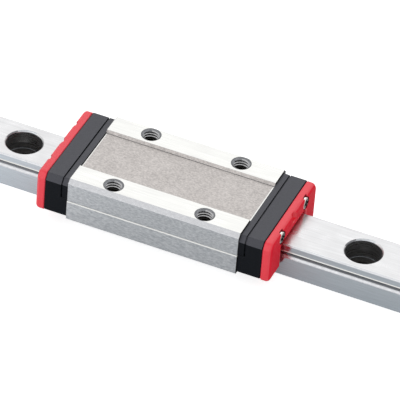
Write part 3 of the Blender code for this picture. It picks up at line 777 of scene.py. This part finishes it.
def makeBlock():
    shape = drawnOut(blockOutline(), -blockEnd, blockEnd)
    top, recessHalf = blockHigh.z, block["recessWidth"] / 2
    recessFloor, cut = top - block["recessDepth"], block["cornerCut"]
    rim = []
    for edge in flatEnds(shape, (-blockEnd, blockEnd)):
        floorBand = (recessFloor - block["sharpBand"], recessFloor + slack)
        if not all(floorBand[0] < vert.co.z < floorBand[1] for vert in edge.verts):
            rim.append(edge)
    softenRim(shape, rim, block["endRound"])
    plateShadowEnd = block["plateShadowLine"] - blockEnd
    speckleStart, speckleEnd = block["leftHighlightStrip"] - blockEnd, blockEnd - block["rightHighlightStrip"]
    for place in (plateShadowEnd, speckleStart, speckleEnd):
        whole = shape.verts[:] + shape.edges[:] + shape.faces[:]
        bmesh.ops.bisect_plane(shape, geom=whole, plane_co=(place, 0, 0), plane_no=(1, 0, 0))
    steel = asObject("carriage_block_look", shape, landSteel)

    crest, root, rim = tapped["crest"] / 2, tapped["root"] / 2, tapped["rim"] / 2
    drill, sunkFloor = crest * tapped["drillShare"], -tapped["rimDepth"]
    drilled = [(0, -tapped["depth"] - tapped["tipDepth"]), (drill, -tapped["depth"])]
    drilled += [(drill, tapped["drillRise"]), (0, tapped["drillRise"])]
    sunk = [
        (0, sunkFloor),
        (crest, sunkFloor),
        (root + tapped["waistGap"], sunkFloor * tapped["waistShare"]),
        (rim - tapped["lipWidth"], -tapped["lipDepth"]),
        (rim, 0),
        (rim, spare),
        (0, spare),
    ]
    reach = blockEnd + spare
    returns = [(0, side * (ballY + balls["rowSpacing"]), balls["rowHeight"]) for side in (-1, 1)]
    bores = [straightBore(tubeRadius, -reach, reach, block["boreSides"], place) for place in returns]
    tapDrills = [turned(drilled, tapped["sides"], "Z", centre) for centre in tappedCentres()]
    sinks = [turned(sunk, tapped["sides"], "Z", centre) for centre in tappedCentres()]
    screwBore, screwFloor = block["screwHole"] / 2, blockEnd - block["screwHoleDepth"]
    screwHoles = []
    for end in (-1, 1):
        for place in screwPlaces():
            sides = block["screwHoleSides"]
            screwHoles.append(straightBore(screwBore, end * screwFloor, end * reach, sides, place))
    cutters = {
        "return_bores": bores,
        "screw_holes": screwHoles,
        "drilled_tips": tapDrills,
        "threads": [threadCutter(centre) for centre in tappedCentres()],
        "countersinks": sinks,
    }
    for name, shapes in cutters.items():
        carve(steel, together(name, shapes))

    # the sides and underside get the darker side finish, partly painted shade
    def onSide(middle, normal):
        return abs(normal.y) > 0.85 or normal.z < -0.5

    # painted shade: the block's ends, between it and the plates
    def onEnd(middle, normal):
        return endFacing(normal)

    # painted shadow: a dark line on the recess floor along the left plate
    def inPlateShadow(middle, normal):
        onFloor = abs(middle.z - recessFloor) < 2 * cut and abs(middle.y) < recessHalf
        return onFloor and middle.x < plateShadowEnd

    def onMilled(middle, normal):
        return middle.z > top - block["milledDepth"] and slanted(abs(normal.y))

    # the strips by the plates are left in land finish as painted highlight
    def inRecess(middle, normal):
        if abs(middle.y) > recessHalf or middle.z < recessFloor - slack:
            return False
        onFloor = middle.z < recessFloor + cut and speckleStart < middle.x < speckleEnd
        return onFloor or slanted(abs(normal.y), 0.7)

    # painted shade in the corners at the feet of the recess walls
    def inCorner(middle, normal):
        low = top - block["milledDepth"] < middle.z < recessFloor - slack
        return low and abs(middle.y) < recessHalf

    def inThread(middle, normal):
        away = min((middle.xy - centre.xy).length for centre in tappedCentres())
        deepest = top - tapped["depth"] - spare
        return away < rim + micron and middle.z > deepest and normal.z < 0.99

    # partly painted shade: the countersink ring is darker than the steel around
    def inSink(middle, normal):
        return inThread(middle, normal) and middle.z > top + sunkFloor * tapped["sunkShare"]

    # painted shade deep in the tapped holes
    def inDrill(middle, normal):
        return inThread(middle, normal) and middle.z < top - tapped["shadeDepth"]

    def inBore(middle, normal):
        away = min(math.hypot(middle.y - y, middle.z - z) for x, y, z in returns)
        return away < tubeRadius + micron
    tint(
        steel, (shadedSideSteel, onSide), (milledSteel, onMilled), (blastedSteel, inRecess),
        (scaleAndShadeSteel, onEnd), (scaleAndShadeSteel, inPlateShadow), (scaleAndShadeSteel, inBore), (darkShadeSteel, inCorner),
        (threadSteel, inThread), (scaleAndShadeSteel, inDrill), (shadedSunkSteel, inSink),
    )
    return steel


fit(makeBlock(), "carriage_block_look", "carriage", atEnd("right"))
print("block ready")


# End units: return plate, end cap and seal, made for the right end and turned round for the left

unit = {
    "cornerSide": 0.8 * mm,
    "cornerDrop": 1.1 * mm,
    "edgeRadius": 0.14 * mm,
    "footRound": 0.2 * mm,
    "seamRound": 0.06 * mm,
    "sealSeam": 0.12 * mm,      # the groove between cap and seal
    "seamWidth": 0.25 * mm,
    "seamDepth": 0.3 * mm,
    "seatGap": 0.02 * mm,       # round the plate in the cap, and under each screw head
    "railGap": 0.2 * mm,        # plate and cap to the rail
    "lipGap": 0.05 * mm,
    "screwHole": 1.4 * mm,
}
turnPocket = {
    "flange": 0.2 * mm,
    "gap": 0.03 * mm,
    "steps": 16,
    "sides": 48,
}
seal = {
    "bevel": 0.7 * mm,
    "bevelSegments": 6,
    "cornerRadius": 0.75 * mm,
    "openingSide": 0.7 * mm,
    "openingTop": 0.5 * mm,
    "lip": 0.5 * mm,
    "valleyWidth": 0.9 * mm,
    "valleyDepth": 0.5 * mm,
    "valleyFoot": 8.1 * mm,
    "portHeight": 8.8 * mm,
    "portDiameter": 0.7 * mm,
    "portDepth": 0.6 * mm,
    "portRim": 0.05 * mm,
    "portSides": 32,
    "notchDiameter": 2.3 * mm,
    "notchSides": 48,
    "slotWidth": 1.2 * mm,      # from each notch up through the rim
    "slotDepth": 0.47 * mm,
    "slotFoot": 0.92 * mm,      # over the notch's middle
    "mouthRound": 0.3 * mm,
    "screwSeat": 0.47 * mm,     # below the seal's face
}
unitHalf, unitTop = capHigh.y, capHigh.z
guideHalfHeight = tubeRadius + turnPocket["flange"]
plateStart, plateEnd = plateLow.x - carriageX, plateHigh.x - carriageX
capStart, capEnd = capLow.x - carriageX, capHigh.x - carriageX
sealStart, sealFace = sealLow.x - carriageX, sealHigh.x - carriageX
screwSeatX = sealFace - seal["screwSeat"]


def unitOutline(bottom, footRadius, cornerRadius):
    side = [
        (unitHalf, bottom, footRadius),
        (unitHalf, unitTop - unit["cornerDrop"], cornerRadius),
        (unitHalf - unit["cornerSide"], unitTop, cornerRadius),
    ]
    return rounded(side + mirrorOf(side))


def railPassage(gap):
    outline = railOutline(grow=gap)
    return asObject("rail_passage", drawnOut(outline, blockEnd - spare, sealFace + spare))


def screwPassages():
    bore, low, high = unit["screwHole"] / 2, blockEnd - spare, sealFace + spare
    sides = block["screwHoleSides"]
    holes = [straightBore(bore, low, high, sides, place) for place in screwPlaces()]
    return together("screw_passages", holes)


def onUnitSide(middle, normal):
    # faces that look sideways, endways or down, which get the painted shade
    return abs(normal.y) > 0.9 or abs(normal.x) > 0.6 or normal.z < -0.5


def makePlate():
    # the rim next to the cap is set back, which leaves the seam as a dark groove round the unit
    step = plateEnd - unit["seamWidth"]
    shape = drawnOut(unitOutline(plateLow.z, 0, 0), plateStart, step)
    inner = [face for face in shape.faces if all(abs(vert.co.x - step) < same for vert in face.verts)]
    bmesh.ops.inset_region(shape, faces=inner, thickness=unit["seamDepth"], use_even_offset=True)
    drawn = bmesh.ops.extrude_face_region(shape, geom=inner)
    shape.faces.remove(inner[0])
    tip = [item for item in drawn["geom"] if isinstance(item, bmesh.types.BMVert)]
    bmesh.ops.translate(shape, verts=tip, vec=(unit["seamWidth"], 0, 0))
    bmesh.ops.recalc_face_normals(shape, faces=shape.faces)
    corners = []
    for edge in shape.edges:
        run = abs(edge.verts[0].co.x - edge.verts[1].co.x)
        if run > 2 * unit["seamWidth"] and edge.calc_face_angle(0) > arcStep:
            corners.append(edge)
    softenRim(shape, corners, unit["edgeRadius"], 3)
    plate = asObject("return_plate", shape, capPlastic)
    carve(plate, railPassage(unit["railGap"]), screwPassages())
    tint(plate, (shadedCapSidePlastic, onUnitSide))
    return plate


def turnSection(rim, halfHeight, bulge):
    # half section of a return turn: a disc with a round channel at its rim, bulging out or cut in
    edgeRise = math.sqrt(tubeRadius ** 2 - (turnRadius - rim) ** 2)
    start = math.atan2(edgeRise, rim - turnRadius)
    finish = -start if bulge else math.tau - start
    arc = []
    for step in range(turnPocket["steps"] + 1):
        angle = start + (finish - start) * step / turnPocket["steps"]
        arc.append((turnRadius + tubeRadius * math.cos(angle), tubeRadius * math.sin(angle)))
    return [(0, halfHeight), (rim, halfHeight), *arc, (rim, -halfHeight), (0, -halfHeight)]


def makeCap():
    shape = drawnOut(unitOutline(capLow.z, unit["footRound"], unit["edgeRadius"]), capStart, capEnd)
    softenRim(shape, flatEnds(shape, (capStart,)), unit["seamRound"])
    softenRim(shape, flatEnds(shape, (capEnd,)), unit["sealSeam"], 1)
    cap = asObject("end_cap", shape, capPlastic)
    seatEnd, seatSide = plateEnd + unit["seatGap"], unitHalf + spare
    seat = [(seatSide, plateLow.z - unit["seatGap"]), (seatSide, unitTop + spare)]
    carve(cap, asObject("plate_seat", drawnOut(seat + mirrorOf(seat), blockEnd - spare, seatEnd)))

    def seatRim(shape):
        # the outer rim of the face that the plate lies against
        rim = []
        for edge in flatEnds(shape, (seatEnd,)):
            overFoot = all(vert.co.z > plateLow.z for vert in edge.verts)
            if overFoot and not all(endFacing(face.normal) for face in edge.link_faces):
                rim.append(edge)
        return rim
    softenMesh(cap, seatRim, unit["seamRound"])
    section = turnSection(turnRadius, guideHalfHeight + turnPocket["gap"], True)
    places = [(blockEnd, side * turnY, balls["rowHeight"]) for side in (-1, 1)]
    pockets = [turned(section, turnPocket["sides"], "Z", place) for place in places]
    carve(cap, railPassage(unit["railGap"]), together("turn_pockets", pockets), screwPassages())
    tint(cap, (shadedCapSidePlastic, onUnitSide))
    return cap


def makeSeal():
    outline = unitOutline(sealLow.z, seal["cornerRadius"], seal["cornerRadius"])
    shape = drawnOut(outline, sealStart, sealFace)
    softenRim(shape, flatEnds(shape, (sealFace,)), seal["bevel"], seal["bevelSegments"])
    softenRim(shape, flatEnds(shape, (sealStart,)), unit["sealSeam"], 1)
    rubber = asObject("end_seal", shape, sealRubber)

    outside = sealFace + spare
    opening, ceiling = railHigh.y + seal["openingSide"], railHigh.z + seal["openingTop"]
    mouth = [(opening, -spare, 0), (opening, ceiling, seal["openingSide"])]
    mouth = rounded(mouth + mirrorOf(mouth))
    carve(rubber, asObject("wide_mouth", drawnOut(mouth, sealStart + seal["lip"], outside)))

    def inMouth(vert):
        return abs(vert.co.y) < opening + micron and vert.co.z < ceiling + micron

    def mouthRim(shape):
        return [edge for edge in flatEnds(shape, (sealFace,)) if all(map(inMouth, edge.verts))]
    softenMesh(rubber, mouthRim, seal["mouthRound"], 3)

    floor, width = sealFace - seal["valleyDepth"], seal["valleyWidth"] / 2
    wide = width + seal["valleyDepth"] + spare
    slopes = [(floor, -width), (outside, -wide), (outside, wide), (floor, width)]
    valley = drawnOut(slopes, seal["valleyFoot"], unitTop + spare, along="Z")
    bore, boreFloor, rim = seal["portDiameter"] / 2, floor - seal["portDepth"], seal["portRim"]
    portTop = floor + rim + spare
    portProfile = [(0, boreFloor), (bore, boreFloor), (bore, floor - rim)]
    portProfile += [(bore + 2 * rim + spare, portTop), (0, portTop)]
    port = turned(portProfile, seal["portSides"], "X", (0, 0, seal["portHeight"]))
    notch, notchFloor = seal["notchDiameter"] / 2, screwSeatX - unit["seatGap"]
    notches, slots = [], []
    for x, y, z in screwPlaces():
        notches.append(straightBore(notch, notchFloor, outside, seal["notchSides"], (x, y, z)))
        low, high = y - seal["slotWidth"] / 2, y + seal["slotWidth"] / 2
        foot, head = z + seal["slotFoot"], unitTop + spare
        sides = [(low, foot), (high, foot), (high, head), (low, head)]
        slots.append(drawnOut(sides, sealFace - seal["slotDepth"], outside))
    carve(rubber, railPassage(unit["lipGap"]))
    carve(rubber, asObject("valley", valley))
    carve(rubber, asObject("port", port))
    carve(rubber, together("notches", notches))
    carve(rubber, together("slots", slots))
    carve(rubber, screwPassages())

    def onFace(middle, normal):
        onRound = abs(middle.y) < opening + seal["mouthRound"] and abs(normal.y) > 0.1
        return normal.x > 0.75 and not onRound or normal.z < -0.5

    # painted shade in the screw notches
    def inNotch(middle, normal):
        away = min(math.hypot(middle.y - y, middle.z - z) for x, y, z in screwPlaces())
        return away < notch + micron and notchFloor - micron < middle.x < sealFace - 2 * slack
    tint(rubber, (sealFaceRubber, onFace), (shadedRubber, inNotch))
    return rubber


screw = {
    "head": 2.1 * mm,
    "headHeight": 0.5 * mm,
    "headFoot": 1.974 * mm,
    "headFootRise": 0.05 * mm,
    "crownFlat": 1.05 * mm,     # the head's arc starts at this width, and at this height
    "crownFoot": 0.2 * mm,
    "crownSteps": 8,
    "darkCrownFrom": 0.45 * mm,
    "shank": 1.2 * mm,
    "threadRoot": 0.984 * mm,
    "threadPitch": 0.25 * mm,
    "threadForm": (0.06 * mm, 0.15 * mm, 0.24 * mm),
    "threadEnd": 0.3 * mm,
    "tip": 0.84 * mm,
    "tipLength": 0.18 * mm,
    "cross": 1.8 * mm,
    "crossWidth": 0.64 * mm,
    "crossDepth": 0.42 * mm,
    "crossTaper": 0.6,          # its floor's width in that of its mouth
    "engagement": 2.4 * mm,
    "sides": 48,
}


def makeScrew():
    # pan head with a cross recess, seated at the origin and pointing along -X
    head, shank, root = screw["head"] / 2, screw["shank"] / 2, screw["threadRoot"] / 2
    length, tip = screwSeatX - blockEnd + screw["engagement"], screw["tipLength"]
    top, flat, foot = screw["headHeight"], screw["crownFlat"] / 2, screw["crownFoot"]
    profile = [(0, -length), (screw["tip"] / 2, -length), (shank, tip - length)]
    pitch, radii = screw["threadPitch"], (shank, root, shank)
    for turn in range(int((length - tip - screw["threadEnd"]) / pitch)):
        base = tip - length + turn * pitch
        profile += [(radius, base + rise) for radius, rise in zip(radii, screw["threadForm"])]
    profile += [(shank, 0), (screw["headFoot"] / 2, 0), (head, screw["headFootRise"])]
    for step in range(screw["crownSteps"] + 1):
        angle = math.pi / 2 * step / screw["crownSteps"]
        profile.append((flat + (head - flat) * math.cos(angle), foot + (top - foot) * math.sin(angle)))
    profile.append((0, top))
    piece = asObject("seal_screw", turned(profile, screw["sides"], "X", (0, 0, 0)), screwNickel)
    arm, width, floor = screw["cross"] / 2, screw["crossWidth"] / 2, top - screw["crossDepth"]
    cross = []
    for quarter in range(4):
        turn = Matrix.Rotation(quarter * math.pi / 2, 2)
        cross += [turn @ Vector(point) for point in ((arm, -width), (arm, width), (width, width))]
    shape = drawnOut(cross, floor, top + spare)
    near = [vert for vert in shape.verts if vert.co.x < floor + micron]
    bmesh.ops.scale(shape, vec=(1, screw["crossTaper"], screw["crossTaper"]), verts=near)
    carve(piece, asObject("cross_recess", shape))

    # painted shade in the cross recess
    def inCross(middle, normal):
        reach = math.hypot(middle.y, middle.z)
        wall = abs(normal.x) < 0.6 and min(abs(middle.y), abs(middle.z)) < width + micron
        return middle.x > floor - micron and reach < arm and (wall or middle.x < floor + micron)

    # painted reflection: the crown is tinted dark
    def onCrown(middle, normal):
        return middle.x > screw["darkCrownFrom"] and normal.x > 0.9
    tint(piece, (darkReflectionNickel, onCrown), (shadedRecessNickel, inCross))
    return piece


def makeGuide():
    section = turnSection(turnRadius - turnPocket["gap"], guideHalfHeight, False)
    shape = turned(section, turnPocket["sides"] // 2, "Z", (0, 0, 0), math.pi)
    return asObject("return_guide", shape, guidePlastic)


def placeEnds():
    pieces = {
        "return_plate": (makePlate(), "black_plastic"),
        "end_cap": (makeCap(), "black_plastic"),
        "end_seal": (makeSeal(), "red_seal"),
    }
    for name, (piece, slot) in pieces.items():
        fit(copyOf(piece, name), f"{name}_left_look", "carriage", atEnd("left"))
        fit(piece, f"{name}_right_look", "carriage", atEnd("right"))
    print("plates, caps and seals ready")

    small = {
        "seal_screw": (makeScrew(), "plated_screw", screwPlaces(screwSeatX)[1]),
        "return_guide": (makeGuide(), "guide_plastic", (capStart, turnY, balls["rowHeight"])),
    }
    for name, (piece, slot, (x, y, z)) in small.items():
        for end in ("right", "left"):
            for side in ("back", "front"):
                # turning the left end round swaps back and front
                across = y if (side == "back") == (end == "right") else -y
                copied = copyOf(piece, name)
                fit(copied, f"{name}_{end}_{side}_look", "carriage", atEnd(end, x, across, z))
        bpy.data.objects.remove(piece, do_unlink=True)
    print("screws and return guides ready")


placeEnds()


# Ball circuits and the wires that keep them in

circuit = {
    "ballRings": 10,
    "ballSegments": 20,
    "leastStep": 0.9,           # along the path to the next ball, in pitches
    "mostStep": 1.6,
    "halvings": 40,
    "wire": 0.24 * mm,
    "wireRailGap": 0.13 * mm,
    "wireBallGap": 0.03 * mm,
    "wireBend": 0.3 * mm,
    "wireReach": 0.9 * mm,
    "wireLeg": 0.9 * mm,
    "wireSides": 16,
}


def circuitPoint(distance):
    # along the loaded row, outwards round the turn, back through the bore and round again
    straight = 2 * blockEnd
    lap = straight + math.pi * turnRadius
    distance %= 2 * lap
    returning = distance >= lap
    if returning:
        distance -= lap
    if distance < straight:
        x, y = distance - blockEnd, -turnRadius
    else:
        angle = (distance - straight) / turnRadius
        x, y = blockEnd + turnRadius * math.sin(angle), -turnRadius * math.cos(angle)
    if returning:
        x, y = -x, -y
    return Vector((x, turnY + y, balls["rowHeight"]))


def largest(low, high, held):
    # the largest value for which the test holds, found by halving the range
    for halving in range(circuit["halvings"]):
        middle = (low + high) / 2
        if held(middle):
            low = middle
        else:
            high = middle
    return low


def ballPlaces(pitch, count):
    # each ball a pitch, measured straight, from the one before
    places = [0.0]
    low, high = pitch * circuit["leastStep"], pitch * circuit["mostStep"]
    for ball in range(count):
        last = places[-1]
        here = circuitPoint(last)
        step = largest(low, high, lambda ahead: (circuitPoint(last + ahead) - here).length < pitch)
        places.append(last + step)
    return places


def makeBalls():
    # as many balls as fit, with the gaps between them evened out
    lap = 2 * (2 * blockEnd + math.pi * turnRadius)
    least = balls["diameter"]
    count = int(lap / least) + 1
    while ballPlaces(least, count)[-1] > lap:
        count -= 1
    most = least * (count + 2) / count
    pitch = largest(least, most, lambda trial: ballPlaces(trial, count)[-1] < lap)
    shape = bmesh.new()
    for place in ballPlaces(pitch, count)[:-1]:
        bmesh.ops.create_uvsphere(
            shape, u_segments=circuit["ballSegments"], v_segments=circuit["ballRings"],
            radius=ballRadius, matrix=Matrix.Translation(circuitPoint(place)),
        )
    return asObject("ball_train", shape, ballSteel)


def makeWire():
    radius = circuit["wire"] / 2
    y = railFace + circuit["wireRailGap"] + radius
    apart = ballRadius + radius + circuit["wireBallGap"]
    z = balls["rowHeight"] - math.sqrt(apart ** 2 - (ballY - y) ** 2)
    bend, reach = circuit["wireBend"], blockEnd + circuit["wireReach"]
    foot = z - circuit["wireLeg"]
    points = rounded([(-reach, foot, 0), (-reach, z, bend), (reach, z, bend), (reach, foot, 0)])
    curve = bpy.data.curves.new("ball_retainer", "CURVE")
    curve.dimensions = "3D"
    curve.bevel_depth = radius
    curve.bevel_resolution = circuit["wireSides"] // 4
    curve.use_fill_caps = True
    line = curve.splines.new("POLY")
    line.points.add(len(points) - 1)
    for point, (along, up) in zip(line.points, points):
        point.co = (along, y, up, 1)
    source = linked("ball_retainer_curve", curve)
    mesh = meshOf(source)
    bpy.data.objects.remove(source, do_unlink=True)
    mesh.materials.clear()
    mesh.materials.append(wireSteel)
    return linked("ball_retainer", mesh)


for piece, slot in ((makeBalls(), "ball_steel"), (makeWire(), "wire_steel")):
    name = piece.name
    fit(copyOf(piece, name), f"{name}_front_look", "carriage", atEnd("left"))
    fit(piece, f"{name}_back_look", "carriage", atEnd("right"))
print("ball circuits ready")


# Studio: floor, lamps, surroundings and camera

studio = {
    "floorSize": 3.0,
    "floorDrop": 0.02 * mm,
    "floorColour": "#e6e6e6",
    "cameraGlow": 0.75,         # what the floor adds for the camera, so that it reads as white
    "mirrorGlow": 0.20,         # what it adds in mirror images
    "leftMirrorGlow": 0.60,           # painted reflection: it adds more in those of the left part
    "leftGlowStart": 0.0,
    "leftGlowEnd": -48 * mm,
    "skyFill": 0.5,
    "lampColour": "#ffffff",
    "lampFactor": 4,            # a lamp's face shows a quarter of its power over its area
}
softboxes = {
    "top_softbox": {"place": (-0.12, 0.28, 0.50), "size": (0.8, 0.7), "radiance": 0.5},
    "front_softbox": {"place": (-0.15, -0.56, 0.22), "size": (1.6, 0.56), "radiance": 0.55},
}


def makeFloor():
    shape = bmesh.new()
    bmesh.ops.create_grid(shape, x_segments=1, y_segments=1, size=studio["floorSize"] / 2)
    bmesh.ops.translate(shape, verts=shape.verts, vec=(0, 0, -studio["floorDrop"]))
    material, shader = newMaterial("pale_studio_paper", Roughness=0.9, Specular_IOR_Level=0.0)
    shader.inputs["Base Color"].default_value = colour(studio["floorColour"])
    tree = material.node_tree
    path = addNode(material, "ShaderNodeLightPath").outputs
    mirrored = reckoned(material, "MAXIMUM", path["Is Glossy Ray"], path["Is Transmission Ray"])
    place = addNode(material, "ShaderNodeTexCoord")
    apart = addNode(material, "ShaderNodeSeparateXYZ", {}, {"Vector": place.outputs["Object"]})
    # painted reflection: the floor's glow in mirror images rises towards the left part
    leftGlowRamp = ranged(
        material, apart.outputs["X"], (studio["leftGlowStart"], studio["leftGlowEnd"]),
        (studio["mirrorGlow"], studio["leftMirrorGlow"]), "SMOOTHSTEP",
    )
    dimmed = reckoned(material, "MULTIPLY", mirrored, leftGlowRamp)
    glow = reckoned(material, "MULTIPLY_ADD", path["Is Camera Ray"], studio["cameraGlow"], dimmed)
    light = addNode(material, "ShaderNodeEmission", {"Color": (1, 1, 1, 1)}, {"Strength": glow})
    summed = addNode(
        material, "ShaderNodeAddShader", {}, {0: shader.outputs["BSDF"], 1: light.outputs["Emission"]},
    )
    tree.links.new(summed.outputs["Shader"], tree.nodes["Material Output"].inputs["Surface"])
    asObject("studio_floor", shape, material)


def addLamp(name, place, size, radiance):
    # a softbox aimed at the origin; its power follows from how bright its face looks
    lamp = bpy.data.lights.new(name, "AREA")
    lamp.shape = "RECTANGLE"
    lamp.size, lamp.size_y = size
    lamp.energy = radiance * studio["lampFactor"] * size[0] * size[1]
    lamp.color = colour(studio["lampColour"])[:3]
    holder = linked(name, lamp)
    holder.location = place
    holder.rotation_euler = Vector(place).to_track_quat("Z", "Y").to_euler()


def makeSky():
    # white for the camera and in mirror images, and a weaker fill on everything else
    world = bpy.data.worlds.new("white_studio")
    world.use_nodes = True
    bpy.context.scene.world = world
    tree = world.node_tree
    fill = tree.nodes["Background"]
    fill.inputs["Color"].default_value = (1, 1, 1, 1)
    fill.inputs["Strength"].default_value = studio["skyFill"]
    seen = addNode(world, "ShaderNodeBackground", {"Color": (1, 1, 1, 1), "Strength": 1.0})
    path = addNode(world, "ShaderNodeLightPath").outputs
    direct = reckoned(world, "MAXIMUM", path["Is Camera Ray"], path["Is Glossy Ray"])
    either = reckoned(world, "MAXIMUM", direct, path["Is Transmission Ray"])
    mixed = addNode(
        world, "ShaderNodeMixShader", {},
        {0: either, 1: fill.outputs["Background"], 2: seen.outputs["Background"]},
    )
    tree.links.new(mixed.outputs["Shader"], tree.nodes["World Output"].inputs["Surface"])


view = {
    "azimuth": math.radians(20.338),
    "elevation": math.radians(38.543),
    "roll": math.radians(4.832),
    "distance": 757.94 * mm,
    "slideRight": 4.25269 * mm,
    "slideUp": 3.61536 * mm,
    "pixelsPerMm": 6.13753,
    "pictureWidth": 400,
    "sensor": 36.0,
    "clipStart": 0.01,
    "clipEnd": 20.0,
}


def makeCamera():
    turn, tilt, roll = view["azimuth"], view["elevation"], view["roll"]
    right = Vector((math.cos(turn), math.sin(turn), 0))
    back = Vector((math.sin(turn) * math.cos(tilt), -math.cos(turn) * math.cos(tilt), math.sin(tilt)))
    up = back.cross(right)
    rolledRight = math.cos(roll) * right + math.sin(roll) * up
    rolledUp = math.cos(roll) * up - math.sin(roll) * right
    slide = rolledRight * view["slideRight"] + rolledUp * view["slideUp"]
    camera = bpy.data.cameras.new("camera")
    camera.sensor_width = view["sensor"]
    camera.lens = view["pixelsPerMm"] / mm * view["distance"] * view["sensor"] / view["pictureWidth"]
    camera.clip_start = view["clipStart"]
    camera.clip_end = view["clipEnd"]
    holder = linked("camera", camera)
    pose = Matrix((rolledRight, rolledUp, back)).transposed().to_4x4()
    pose.translation = Vector((carriageX, 0, 0)) + back * view["distance"] + slide
    holder.matrix_world = pose
    bpy.context.scene.camera = holder


makeFloor()
makeSky()
for name, softbox in softboxes.items():
    addLamp(name, **softbox)
makeCamera()
bpy.context.scene.view_settings.view_transform = "Standard"
print("studio ready")
